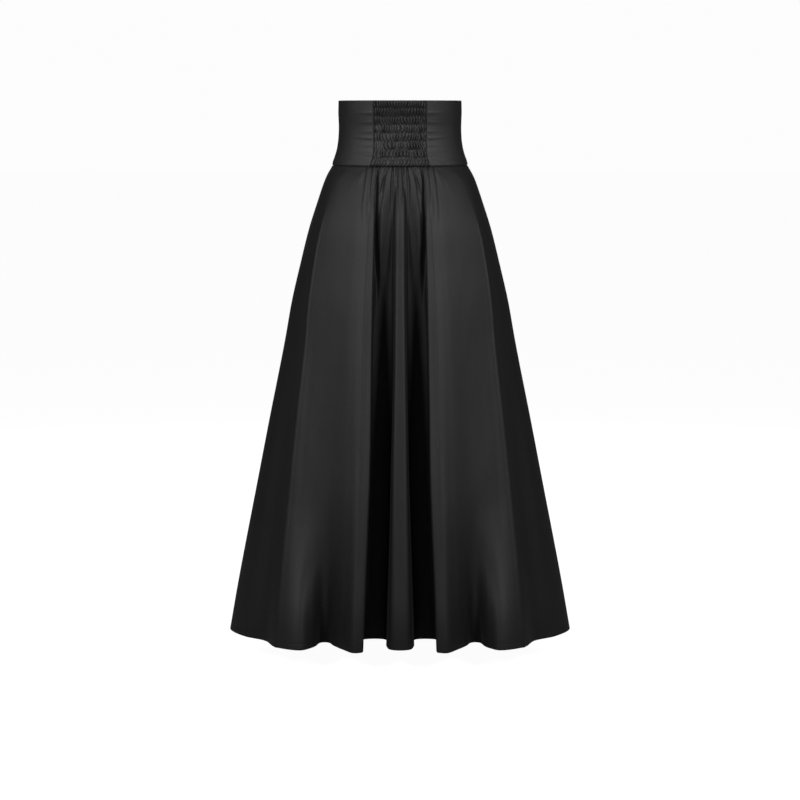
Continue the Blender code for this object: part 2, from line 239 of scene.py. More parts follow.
# How a gather's lean slows down, how much of a flat-topped gather's half width its flank takes up,
# and how far the flanks of a slanted one bow outwards.
LEAN_EASE = 1.05
FLANK_SHARE = 0.6
SLANT_BOW = 0.35

# The solids have the gathers too. The troughs, edge lines, creases and drag lines are the cloth's.
GATHERS = (
    Gather("middle", 0.0000, 0.0000, 0.050, 0.120, 0.0030, 0.0030, 0.15, 0.0034, 0.0044, 0.0),
    Gather("thin", 0.0098, 0.0102, 0.030, 0.050, 0.0030, 0.0018, 0.15, 0.0032, 0.0036, 0.0),
    Gather("long", 0.0190, 0.0290, 0.090, 0.260, 0.0034, 0.0064, 0.60, 0.0065, 0.0155, 0.6),
    Gather("puff", 0.0325, 0.0430, 0.055, 0.058, 0.0030, 0.0016, 0.20, 0.0080, 0.0055, 0.0),
    Gather("flute_inner", 0.0492, 0.0548, 0.060, 0.120, 0.0030, 0.0020, 0.30, 0.0042, 0.0050, 0.0),
    Gather("flute_outer", 0.0592, 0.0695, 0.075, 0.140, 0.0026, 0.0016, 0.30, 0.0052, 0.0062, 0.0),
)
TROUGHS = (
    Gather("beside_middle", 0.0062, 0.0072, 0.030, 0.070, -0.0020, -0.0016, 0.30, 0.0018, 0.0024, 0.0),
    Gather("beside_thin", 0.0140, 0.0165, 0.045, 0.100, -0.0022, -0.0018, 0.30, 0.0022, 0.0034, 0.0),
    Gather("puff_side", 0.0222, 0.0455, 0.078, 0.090, -0.0024, -0.0026, 0.30, 0.0022, 0.0028, 0.0),
    Gather("flute_side", 0.0412, 0.0470, 0.064, 0.095, -0.0028, -0.0030, 0.35, 0.0020, 0.0028, 0.0),
    Gather("slot", 0.0425, 0.0455, 0.070, 0.300, 0.0000, -0.0120, 0.40, 0.0030, 0.0058, 0.0),
    Gather("flute_ridges", 0.0545, 0.0618, 0.060, 0.090, -0.0009, -0.0005, 0.30, 0.0020, 0.0028, 0.0),
    Gather("beyond_flute", 0.0668, 0.0760, 0.050, 0.050, -0.0006, -0.0003, 0.30, 0.0026, 0.0040, 0.0),
)
FRONT_EDGES = (
    EdgeLine("flute_edge", -0.0950, HEM, 0.0007, 0.0045),
    EdgeLine("flute_crest", -0.1300, -0.6200, 0.0008, 0.0060),
    EdgeLine("outer_edge", -0.1250, HEM, 0.0017, 0.0038),
)
FRONT_CREASES = (
    Crease("beside_gathers", (0.068, -0.078), (0.092, -0.132), 0.0010, 0.0075),
    Crease("beside_gathers_low", (0.076, -0.082), (0.116, -0.150), 0.0006, 0.0090),
    Crease("hip_drag", (0.100, -0.078), (0.142, -0.128), 0.0005, 0.0085),
    Crease("hem_valley", (0.1515, -1.090), (0.1380, -0.780), -0.0085, 0.0190),
)
BACK_CREASES = (
    Crease("from_middle", (0.030, -0.078), (0.044, -0.190), 0.0012, 0.0100),
    Crease("from_quarter", (0.066, -0.078), (0.098, -0.170), 0.0011, 0.0110),
    Crease("hip_drag", (0.098, -0.078), (0.140, -0.140), 0.0008, 0.0100),
)
DRAG_LINES = (
    DragLine(0.0285, 0.046, 0.0007, 0.0042, 0.000),
    DragLine(0.0110, 0.040, 0.0006, 0.0038, 0.002),
    DragLine(-0.0070, 0.036, 0.0006, 0.0036, 0.001),
    DragLine(-0.0205, 0.056, 0.0009, 0.0040, -0.003),
    DragLine(-0.0340, 0.040, 0.0006, 0.0036, 0.002),
    DragLine(-0.0520, 0.052, 0.0010, 0.0052, -0.004),
    DragLine(-0.0660, 0.034, 0.0005, 0.0034, 0.002),
)


# ---------------------------------------------------------------- curves and noise

def smooth_value(z: float, heights: Sequence[float], values: Sequence[float]) -> float:
    """Reads the smooth curve through some values, which never overshoots them.

    Args:
        z: Height to read at.
        heights: Height of each value, in any order.
        values: The values.

    Returns:
        The value at z.
    """
    rows = sorted(zip(heights, values))
    xs = [row[0] for row in rows]
    ys = [row[1] for row in rows]
    z = min(max(z, xs[0]), xs[-1])
    spans = [b - a for a, b in zip(xs, xs[1:])]
    slopes = [(b - a) / span for a, b, span in zip(ys, ys[1:], spans)]
    tangents = [slopes[0]]
    for before, after in zip(slopes, slopes[1:]):
        rising = before * after > 0.0
        tangents.append(2.0 * before * after / (before + after) if rising else 0.0)
    tangents.append(slopes[-1])
    i = max(k for k in range(len(spans)) if z >= xs[k])
    t = (z - xs[i]) / spans[i]
    start = (1 + 2 * t) * (1 - t) ** 2 * ys[i] + t * (1 - t) ** 2 * spans[i] * tangents[i]
    end = t * t * (3 - 2 * t) * ys[i + 1] + t * t * (t - 1) * spans[i] * tangents[i + 1]
    return start + end


def outline(sections: Sequence[Section], z: float) -> tuple[float, float, float]:
    """Reads an outline at a height.

    Args:
        sections: The outline's sections.
        z: Height to read at.

    Returns:
        Half width, front depth and back depth.
    """
    heights = [section.z for section in sections]
    half_width = smooth_value(z, heights, [section.half_width for section in sections])
    front = smooth_value(z, heights, [section.front for section in sections])
    back = smooth_value(z, heights, [section.back for section in sections])
    return half_width, front, back


def bend(before: Plan, start: Plan, end: Plan, after: Plan, t: float) -> Plan:
    """Reads the even-handed curve from start to end that heads for its neighbours.

    Args:
        before: Point before the start.
        start: Where the curve starts.
        end: Where it ends.
        after: Point past the end.
        t: Place on the curve, from 0 to 1.

    Returns:
        The point at t.
    """
    points = (before, start, end, after)
    knots = [0.0]
    for a, b in zip(points, points[1:]):
        knots.append(knots[-1] + max(math.dist(a, b), 1e-6) ** 0.5)
    at = knots[1] + t * (knots[2] - knots[1])
    level = list(points)
    for order in (1, 2, 3):
        raised = []
        for k in range(len(level) - 1):
            low = knots[k] if order < 3 else knots[1]
            high = knots[k + order] if order < 3 else knots[2]
            share = (at - low) / (high - low)
            a, b = level[k], level[k + 1]
            raised.append(((1 - share) * a[0] + share * b[0], (1 - share) * a[1] + share * b[1]))
        level = raised
    return level[0]


def ease(share: float) -> float:
    """Soft step from 0 to 1 as share goes from 0 to 1."""
    share = min(max(share, 0.0), 1.0)
    return share * share * (3.0 - 2.0 * share)


def bump(distance: float, half_width: float) -> float:
    """Height of a soft ridge: 1 on its line, 0 at half_width and beyond."""
    return 0.5 + 0.5 * math.cos(math.pi * min(abs(distance) / half_width, 1.0))


def ridge_height(distance: float, half_width: float, slant: float) -> float:
    """Height of a gather across its line, 1 at its crest and 0 at half_width.

    Args:
        distance: Distance outward from the gather's line.
        half_width: Half of the gather's width.
        slant: 0 for a flat top, otherwise how far towards the outer edge the crest stands.

    Returns:
        The share of the crest's height.
    """
    share = distance / half_width
    if slant:
        flank = min((1.0 + share) / (1.0 + slant), (1.0 - share) / (1.0 - slant))
        return max(flank, 0.0) * (1.0 + SLANT_BOW - SLANT_BOW * flank)
    return ease((1.0 - abs(share)) / FLANK_SHARE)


def dip_at(away: float, depth: float, reach: float) -> float:
    """Depth of a soft dip: the whole depth on its line, and next to nothing past twice its reach."""
    return depth * math.exp(-((away / reach) ** 2))


def uneven(x: float, y: float, z: float) -> float:
    """Smooth noise about 0, the same at every run."""
    return noise.noise(Vector((x, y, z)))


def crowded_shares(columns: int) -> list[float]:
    """Shares from 0 to 1 across a panel, closer together towards both its edges."""
    return [0.5 - 0.5 * math.cos(math.pi * column / columns) for column in range(columns + 1)]


def outward(left: Plan, right: Plan) -> Plan:
    """Unit direction out of the cloth, in plan, between two points along its face."""
    run_x = right[0] - left[0]
    run_depth = right[1] - left[1]
    length = math.hypot(run_x, run_depth)
    return -run_depth / length, run_x / length


# ---------------------------------------------------------------- finishes

# A wave texture at scale 1 turns 20 / (2 pi) times over a unit.
WAVE_TURNS = 2.0 * math.pi / 20.0


class Tone(NamedTuple):
    """A tone of black that is a touch bluer than grey: its red and green together, then its blue."""

    grey: float
    blue: float


def node(tree: bpy.types.NodeTree, kind: str, **settings: object) -> bpy.types.Node:
    """Adds a shader node.

    Args:
        tree: The node tree.
        kind: The node's type name.
        **settings: Its properties.

    Returns:
        The new node.
    """
    made = tree.nodes.new(kind)
    for key, value in settings.items():
        setattr(made, key, value)
    return made


def new_material(name: str) -> tuple[bpy.types.Material, bpy.types.NodeTree, bpy.types.Node]:
    """Makes a material, and gives it with its node tree and its shader."""
    material = bpy.data.materials.new(name)
    material.use_nodes = True
    tree = material.node_tree
    return material, tree, tree.nodes["Principled BSDF"]


def noise_texture(
    tree: bpy.types.NodeTree,
    place: bpy.types.NodeSocket,
    scale: float,
    detail: float = 2.0,
    roughness: float = 0.5,
) -> bpy.types.NodeSocket:
    """Adds a noise texture.

    Args:
        tree: The node tree.
        place: The socket that says where on the piece it is read.
        scale: Its scale.
        detail: How many finer layers it has.
        roughness: How strong the finer layers are.

    Returns:
        The socket with its value.
    """
    texture = node(tree, "ShaderNodeTexNoise")
    texture.inputs["Scale"].default_value = scale
    texture.inputs["Detail"].default_value = detail
    texture.inputs["Roughness"].default_value = roughness
    tree.links.new(place, texture.inputs["Vector"])
    return texture.outputs["Fac"]


def tone_ramp(
    tree: bpy.types.NodeTree, value: bpy.types.NodeSocket, dark: Tone, light: Tone, margin: float = 0.0
) -> bpy.types.NodeSocket:
    """Turns a value into a tone.

    Args:
        tree: The node tree.
        value: The socket with the value, from 0 to 1.
        dark: Tone at the value's low end.
        light: Tone at its high end.
        margin: How far inside 0 and 1 the two ends lie.

    Returns:
        The socket with the colour.
    """
    ramp = node(tree, "ShaderNodeValToRGB")
    for end, place, tone in zip(ramp.color_ramp.elements, (margin, 1.0 - margin), (dark, light)):
        end.position = place
        end.color = (tone.grey, tone.grey, tone.blue, 1.0)
    tree.links.new(value, ramp.inputs["Fac"])
    return ramp.outputs["Color"]


def bump_node(
    tree: bpy.types.NodeTree, height: bpy.types.NodeSocket, strength: float, distance: float
) -> bpy.types.Node:
    """Adds a bump node.

    Args:
        tree: The node tree.
        height: The socket with the height.
        strength: Its strength.
        distance: The height in metres that a value of 1 stands for.

    Returns:
        The new node.
    """
    relief = node(tree, "ShaderNodeBump")
    relief.inputs["Strength"].default_value = strength
    relief.inputs["Distance"].default_value = distance
    tree.links.new(height, relief.inputs["Height"])
    return relief


@dataclass(frozen=True)
class Sateen:
    """Smooth black sateen: a fine weave with a soft sheen and a faint unevenness of tone."""

    name: str
    dark: float = 0.0098
    light: float = 0.0138
    blue_share: float = 1.03
    roughness: float = 0.53
    specular: float = 0.42
    sheen: float = 0.06
    sheen_roughness: float = 0.35
    slub_scale: float = 330.0
    slub_detail: float = 3.0
    slub_roughness: float = 0.65
    cloud_scale: float = 8.0
    cloud_share: float = 0.3
    tone_margin: float = 0.32
    weave_pitch: float = 0.00045
    float_length: float = 1.8
    weave_distortion: float = 0.6
    weave_depth: float = 0.00004
    weave_strength: float = 0.5
    rumple_scale: float = 46.0
    rumple_detail: float = 3.0
    rumple_depth: float = 0.0004
    rumple_strength: float = 0.6

    def material(self) -> bpy.types.Material:
        """Builds the material; the weave follows each piece's own cloth map, in metres."""
        material, tree, shader = new_material(self.name)
        shader.inputs["Roughness"].default_value = self.roughness
        shader.inputs["Specular IOR Level"].default_value = self.specular
        shader.inputs["Sheen Weight"].default_value = self.sheen
        shader.inputs["Sheen Roughness"].default_value = self.sheen_roughness
        shader.inputs["Metallic"].default_value = 0.0
        place = node(tree, "ShaderNodeTexCoord").outputs["Object"]
        tree.links.new(self._tone(tree, place), shader.inputs["Base Color"])
        tree.links.new(self._relief(tree, place), shader.inputs["Normal"])
        return material

    def _tone(self, tree: bpy.types.NodeTree, place: bpy.types.NodeSocket) -> bpy.types.NodeSocket:
        """Mottles the black with slubs of the yarn and broad clouds of wear."""
        slubs = noise_texture(tree, place, self.slub_scale, self.slub_detail, self.slub_roughness)
        clouds = noise_texture(tree, place, self.cloud_scale)
        blend = node(tree, "ShaderNodeMix", data_type="FLOAT")
        blend.inputs["Factor"].default_value = self.cloud_share
        tree.links.new(slubs, blend.inputs["A"])
        tree.links.new(clouds, blend.inputs["B"])
        dark = Tone(self.dark, self.dark * self.blue_share)
        light = Tone(self.light, self.light * self.blue_share)
        return tone_ramp(tree, blend.outputs["Result"], dark, light, self.tone_margin)

    def _relief(self, tree: bpy.types.NodeTree, place: bpy.types.NodeSocket) -> bpy.types.NodeSocket:
        """Raises the weave's floats and the faint rumple of worn cloth."""
        cloth_map = node(tree, "ShaderNodeUVMap", uv_map="cloth")
        weave = node(tree, "ShaderNodeMath", operation="MULTIPLY")
        pitches = (self.weave_pitch, self.weave_pitch * self.float_length)
        for direction, pitch, factor in zip("XY", pitches, weave.inputs):
            wave = node(tree, "ShaderNodeTexWave", wave_type="BANDS", bands_direction=direction)
            wave.inputs["Scale"].default_value = WAVE_TURNS / pitch
            wave.inputs["Distortion"].default_value = self.weave_distortion
            tree.links.new(cloth_map.outputs["UV"], wave.inputs["Vector"])
            tree.links.new(wave.outputs["Fac"], factor)
        rumple = noise_texture(tree, place, self.rumple_scale, self.rumple_detail)
        broad = bump_node(tree, rumple, self.rumple_strength, self.rumple_depth)
        fine = bump_node(tree, weave.outputs["Value"], self.weave_strength, self.weave_depth)
        tree.links.new(broad.outputs["Normal"], fine.inputs["Normal"])
        return fine.outputs["Normal"]


@dataclass(frozen=True)
class Thread:
    """Black sewing thread, a touch glossier than the cloth."""

    name: str
    dark: Tone = Tone(0.0112, 0.01152)
    light: Tone = Tone(0.0224, 0.02288)
    roughness: float = 0.4
    specular: float = 0.4
    fibre_scale: float = 2500.0
    twist_depth: float = 0.0001
    twist_strength: float = 0.4

    def material(self) -> bpy.types.Material:
        """Builds the material, with the twist of the thread as bump."""
        material, tree, shader = new_material(self.name)
        shader.inputs["Roughness"].default_value = self.roughness
        shader.inputs["Specular IOR Level"].default_value = self.specular
        place = node(tree, "ShaderNodeTexCoord").outputs["Object"]
        fibres = noise_texture(tree, place, self.fibre_scale)
        twist = bump_node(tree, fibres, self.twist_strength, self.twist_depth)
        tree.links.new(tone_ramp(tree, fibres, self.dark, self.light), shader.inputs["Base Color"])
        tree.links.new(twist.outputs["Normal"], shader.inputs["Normal"])
        return material


# ---------------------------------------------------------------- sheets of cloth

# Cells round a folded edge.
FOLD_CELLS = 6


class Turn(NamedTuple):
    """One row of a sheet: its height, how far it lies inside the face, and how much relief it keeps."""

    z: float
    inset: float
    relief: float


def cloth_map_of(grid: Grid) -> list[list[Plan]]:
    """Lays a sheet's grid out flat.

    Args:
        grid: Points of the sheet, row by row from the top.

    Returns:
        For each point, its distance along the row from the middle column and down its column.
    """
    middle = len(grid[0]) // 2
    down = [[0.0] * len(grid[0])]
    for above, row in zip(grid, grid[1:]):
        down.append([d + (b - a).length for d, a, b in zip(down[-1], above, row)])
    flat = []
    for row, depths in zip(grid, down):
        along = [0.0]
        for a, b in zip(row, row[1:]):
            along.append(along[-1] + (b - a).length)
        flat.append([(a - along[middle], -d) for a, d in zip(along, depths)])
    return flat


def add_object(name: str, shape: bmesh.types.BMesh, material: bpy.types.Material) -> bpy.types.Object:
    """Turns a finished shape into an object of the scene.

    Args:
        name: Name of the object and of its mesh.
        shape: The shape, which is freed.
        material: Its finish.

    Returns:
        The new object.
    """
    mesh = bpy.data.meshes.new(name)
    shape.to_mesh(mesh)
    shape.free()
    mesh.materials.append(material)
    made = bpy.data.objects.new(name, mesh)
    bpy.context.scene.collection.objects.link(made)
    return made


def cloth_sheet(name: str, grid: Grid, material: bpy.types.Material) -> bpy.types.Object:
    """Makes a thin sheet of cloth, with a flat map of itself for its weave.

    Args:
        name: Name of the piece.
        grid: Points of the outer face, row by row from the top, left to right as seen from outside.
        material: Its finish.

    Returns:
        The sheet, with a Solidify modifier for its thickness.
    """
    rows = len(grid) - 1
    columns = len(grid[0]) - 1
    flat = cloth_map_of(grid)
    shape = bmesh.new()
    bmesh.ops.create_grid(shape, x_segments=columns, y_segments=rows, size=1.0)
    cloth_map = shape.loops.layers.uv.new("cloth")
    laid = {}
    for corner in shape.verts:
        column = round((corner.co.x + 1.0) * 0.5 * columns)
        row = round((1.0 - corner.co.y) * 0.5 * rows)
        laid[corner] = flat[row][column]
        corner.co = grid[row][column]
    for face in shape.faces:
        face.smooth = True
        for loop in face.loops:
            loop[cloth_map].uv = laid[loop.vert]
    sheet = add_object(name, shape, material)
    wall = sheet.modifiers.new("cloth", "SOLIDIFY")
    wall.thickness = CLOTH
    wall.offset = -1.0
    wall.use_quality_normals = True
    return sheet


@dataclass(frozen=True)
class StitchRow:
    """A row of lockstitch: even dashes of thread that lie on the cloth."""

    name: str
    pitch: float = 0.0033
    length: float = 0.0024
    thickness: float = 0.00045

    def sew(self, paths: Sequence[Sequence[Vector]], material: bpy.types.Material) -> bpy.types.Object:
        """Sews along paths.

        Args:
            paths: Rows of closely spaced points on the cloth's face.
            material: The thread's finish.

        Returns:
            One mesh with every stitch.
        """
        shape = bmesh.new()
        stretch = Matrix.Diagonal((self.length / 2, self.thickness / 2, self.thickness / 2, 1.0))
        for path in paths:
            for centre, along in self._places(path):
                turned = along.to_track_quat("X", "Z").to_matrix().to_4x4()
                placed = Matrix.Translation(centre) @ turned @ stretch
                bmesh.ops.create_icosphere(shape, subdivisions=1, radius=1.0, matrix=placed)
        for face in shape.faces:
            face.smooth = True
        return add_object(self.name, shape, material)

    def _places(self, path: Sequence[Vector]) -> list[tuple[Vector, Vector]]:
        """Centres and directions of the stitches along one path."""
        places = []
        travelled = 0.0
        due = self.pitch / 2
        for a, b in zip(path, path[1:]):
            step = (b - a).length
            while travelled + step >= due:
                places.append((a.lerp(b, (due - travelled) / step), (b - a).normalized()))
                due += self.pitch
            travelled += step
        return places


# ---------------------------------------------------------------- skirt

@dataclass
class SkirtPanel:
    """One flared skirt panel, from the waist seam to its turned hem."""

    name: str
    side: Side
    folds: tuple[FoldLine, ...]
    gathers: tuple[Gather, ...]
    creases: tuple[Crease, ...]
    edges: tuple[EdgeLine, ...]
    cells: tuple[int, ...]
    rows: int

    # The waist seam, and the tucks beside it.
    seam_dip: float = 0.0014
    seam_dip_reach: float = 0.0016
    tucks_to: float = 0.0640
    tucks_fade_over: float = 0.0060
    tuck_pitch: float = 0.0052
    tuck_depth: float = 0.0024
    tuck_reach: float = 0.0075
    tuck_waver: float = 0.5

    # The gathers, edge lines and creases.
    nip: float = 0.2
    nipped_over: float = 0.0050
    line_waver: float = 0.0016
    line_wavers_over: float = 0.0200
    edge_grows_over: float = 0.1200
    crease_start_share: float = 0.2
    relief_fade_folds: float = 0.6

    # The unevenness of worn cloth.
    wander_height: float = 0.0011
    wander_grows_over: float = 0.1000
    ripple_height: float = 0.0003
    ripple_grows_over: float = 0.0300

    # The side seams.
    side_dip: float = 0.0009
    side_dip_reach: float = 0.0022

    # The hem: its turning, its row of stitches and its hang.
    hem_turn: float = 0.0140
    hem_fold_radius: float = 0.0008
    hem_stitch_up: float = 0.0120
    stitch_dip: float = 0.00022
    stitch_dip_reach: float = 0.0012
    stitch_inset: float = 0.00006
    hem_hang: float = 0.0110
    hem_hang_reach: float = 0.0950
    hang_fade_folds: float = 2.0

    # Where the sheet's rows and columns lie.
    row_crowding: float = 1.45
    column_crowding: float = 1.7
    rows_end_up: float = 0.0060
    stitch_rows_up: tuple[float, ...] = (
        0.0035, 0.0015, 0.0006, 0.0, -0.0006, -0.0015, -0.0035, -0.0065, -0.0095
    )
    turning_rows_up: tuple[float, ...] = (0.0040, 0.0080, 0.0115)

    def __post_init__(self) -> None:
        """Works out what every height shares."""
        self.last = len(self.folds) - 1
        self.names = [fold.name for fold in self.folds]
        self.plans: dict[float, list[Plan]] = {}
        pick = 1 if self.side is Side.FRONT else 2
        self.station_widths = [outline(SKIRT_SECTIONS, z)[0] for z in FOLD_HEIGHTS]
        self.station_depths = [outline(SKIRT_SECTIONS, z)[pick] for z in FOLD_HEIGHTS]

    def plan(self, z: float) -> list[Plan]:
        """Places of the fold lines at a height.

        Args:
            z: The height.

        Returns:
            For each fold line, its distance from the middle and its depth.
        """
        if z in self.plans:
            return self.plans[z]
        half_width, front, back = outline(SKIRT_SECTIONS, z)
        depth = front if self.side is Side.FRONT else back
        places = []
        for fold in self.folds:
            around = math.sqrt(max(0.0, 1.0 - (fold.seam / self.station_widths[0]) ** 2))
            stations = [(fold.seam, self.station_depths[0] * around)] + list(fold[2:])
            across = [x / width for (x, _), width in zip(stations, self.station_widths)]
            inward = [y / reach for (_, y), reach in zip(stations, self.station_depths)]
            x = half_width * smooth_value(z, FOLD_HEIGHTS, across)
            places.append((x, depth * smooth_value(z, FOLD_HEIGHTS, inward)))
        self.plans[z] = places
        return places

    def curve(self, u: float, z: float) -> Plan:
        """Reads the main form.

        Args:
            u: Fold lines counted from the middle, negative to the left.
            z: The height.

        Returns:
            Distance from the middle and depth.
        """
        places = self.plan(z)
        hand = -1.0 if u < 0 else 1.0
        past_seam = abs(u) > self.last
        count = 2 * self.last - abs(u) if past_seam else abs(u)
        i = min(int(count), self.last - 1)
        before = places[i - 1] if i > 0 else (-places[1][0], places[1][1])
        beyond = places[i + 2] if i + 2 <= self.last else (places[-2][0], -places[-2][1])
        x, depth = bend(before, places[i], places[i + 1], beyond, count - i)
        return hand * x, -depth if past_seam else depth

    def relief(self, x: float, z: float) -> float:
        """Height of the gathers, creases and unevenness that stand out of the main form.

        Args:
            x: Distance from the middle, negative to the left.
            z: The height.

        Returns:
            Height out of the main form.
        """
        below = max(WAIST_SEAM - z, 0.0)
        height = 0.0
        hand = math.copysign(1.0, x)
        waver = self.line_waver * uneven(hand * 5.0, z * 22.0, x * 9.0)
        distance = abs(x) + waver * ease(below / self.line_wavers_over)
        for gather in self.gathers:
            if below < gather.reach:
                height += self._gather(gather, distance, below)
        for crease in self.creases:
            height += self._crease(crease, abs(x), z)
        for edge in self.edges:
            if edge.low <= z <= edge.top:
                line = self.plan(z)[self.names.index(edge.fold)][0]
                grown = ease((edge.top - z) / self.edge_grows_over)
                height += edge.height * grown * bump(abs(x) - line, edge.half_width)
        if self.gathers:
            height += self._tucks(abs(x), below)
        wander = self.wander_height * uneven(x * 16.0, z * 4.5, self.side.value * 3.0)
        ripple = self.ripple_height * uneven(x * 42.0, z * 13.0, self.side.value * 7.0)
        height += wander * ease(below / self.wander_grows_over)
        return height + ripple * ease(below / self.ripple_grows_over)

    def _gather(self, gather: Gather, x: float, below: float) -> float:
        """Height of one gather; the seam nips it, and it fills out just below."""
        share = below / gather.reach
        grown = min(share / gather.full_at, 1.0)
        lean = 1.0 - (1.0 - min(below / gather.leans_over, 1.0)) ** LEAN_EASE
        line = gather.seam_x + (gather.low_x - gather.seam_x) * lean
        crest = gather.seam_height + (gather.full_height - gather.seam_height) * grown
        fading = bump(max(share - gather.full_at, 0.0), 1.0 - gather.full_at)
        span = gather.seam_half_width + (gather.full_half_width - gather.seam_half_width) * grown
        nipped = 1.0 - self.nip + self.nip * ease(below / self.nipped_over)
        across = ridge_height(x - line, span, gather.slant) if crest > 0.0 else bump(x - line, span)
        return nipped * crest * fading * across

    def _tucks(self, x: float, below: float) -> float:
        """Depth of the small tucks where the gathered cloth goes into the seam."""
        spread = ease((self.tucks_to - x) / self.tucks_fade_over) * math.exp(-below / self.tuck_reach)
        phase = x / self.tuck_pitch + self.tuck_waver * uneven(x * 90.0, 3.0, 1.0)
        return -self.tuck_depth * spread * (0.5 - 0.5 * math.cos(2.0 * math.pi * phase)) ** 2

    def _crease(self, crease: Crease, x: float, z: float) -> float:
        """Height of one crease, which rises over its first stretch and fades out to its end."""
        share = (crease.start[1] - z) / (crease.start[1] - crease.end[1])
        if not 0.0 < share < 1.0:
            return 0.0
        line = crease.start[0] + (crease.end[0] - crease.start[0]) * share
        fade = min(1.0, share / self.crease_start_share) * bump(share, 1.0)
        return crease.height * fade * bump(x - line, crease.half_width)

    def face(self, u: float, z: float) -> Plan:
        """Reads the cloth's face: the main form, its relief and its hang at the hem.

        Args:
            u: Fold lines counted from the middle, negative to the left.
            z: The height.

        Returns:
            Distance from the middle and depth.
        """
        step = 0.02
        x, depth = self.curve(u, z)
        out_x, out_depth = outward(self.curve(u - step, z), self.curve(u + step, z))
        height = self.relief(x, z) * ease((self.last - abs(u)) / self.relief_fade_folds)
        low = max(0.0, 1.0 - (z - HEM) / self.hem_hang_reach)
        hang = self.hem_hang * low**2 * ease((self.last - abs(u)) / self.hang_fade_folds)
        return x + out_x * height, depth + out_depth * height - hang

    def point(self, u: float, turn: Turn) -> Vector:
        """Point of the sheet in space.

        Args:
            u: Fold lines counted from the middle.
            turn: The row that the point is on.

        Returns:
            The point, in the row frame.
        """
        step = 0.03
        z = max(turn.z, HEM)
        x, depth = self.face(u, z)
        out_x, out_depth = outward(self.face(u - step, z), self.face(u + step, z))
        inset = turn.inset + self._side_roll(u, z)
        y = depth - out_depth * inset + SEAM_GAP / 2
        return Vector((x - out_x * inset, self.side.value * y, turn.z))

    def _side_roll(self, u: float, z: float) -> float:
        """How far the cloth dips into the side seam."""
        places = self.plan(z)
        away = (self.last - abs(u)) * math.dist(places[-1], places[-2])
        return dip_at(away, self.side_dip, self.side_dip_reach)

    def turns(self) -> list[Turn]:
        """Rows of the sheet: into the waist seam, down the face and round the turned hem."""
        top = WAIST_SEAM - SEAM_GAP
        stitches = HEM + self.hem_stitch_up
        start = stitches + self.rows_end_up
        rows = []
        for i in range(self.rows + 1):
            z = top + (start - top) * (i / self.rows) ** self.row_crowding
            rows.append(Turn(z, dip_at(top - z, self.seam_dip, self.seam_dip_reach), 1.0))
        for up in self.stitch_rows_up:
            rows.append(Turn(stitches + up, self.stitch_dip * bump(up, self.stitch_dip_reach), 1.0))
        radius = self.hem_fold_radius
        for k in range(FOLD_CELLS + 1):
            angle = math.pi * k / FOLD_CELLS
            rows.append(Turn(HEM + radius * (1 - math.sin(angle)), radius * (1 - math.cos(angle)), 1.0))
        for up in self.turning_rows_up + (self.hem_turn,):
            rows.append(Turn(HEM + up, 2 * radius, 1.0))
        return rows

    def fold_counts(self) -> list[float]:
        """Fold counts of the columns, left to right, crowded towards the side seams."""
        half = []
        for i, cells in enumerate(self.cells[:-1]):
            half += [i + k / cells for k in range(cells)]
        last = self.cells[-1]
        half += [self.last - (1 - k / last) ** self.column_crowding for k in range(last + 1)]
        return [-u for u in reversed(half[1:])] + half

    def build(self, material: bpy.types.Material) -> bpy.types.Object:
        """Makes the panel's sheet."""
        counts = self.fold_counts()
        if self.side is Side.BACK:
            counts = list(reversed(counts))
        grid = [[self.point(u, turn) for u in counts] for turn in self.turns()]
        return cloth_sheet(self.name, grid, material)

    def hem_path(self) -> list[Vector]:
        """Points along the hem's row of stitches, which stand just proud of the row's dip."""
        row = Turn(HEM + self.hem_stitch_up, self.stitch_inset, 1.0)
        counts = self.fold_counts()
        fine = []
        for a, b in zip(counts, counts[1:]):
            fine += [a + (b - a) * k / 3 for k in range(3)]
        return [self.point(u, row) for u in fine + [counts[-1]]]


# ---------------------------------------------------------------- waistband

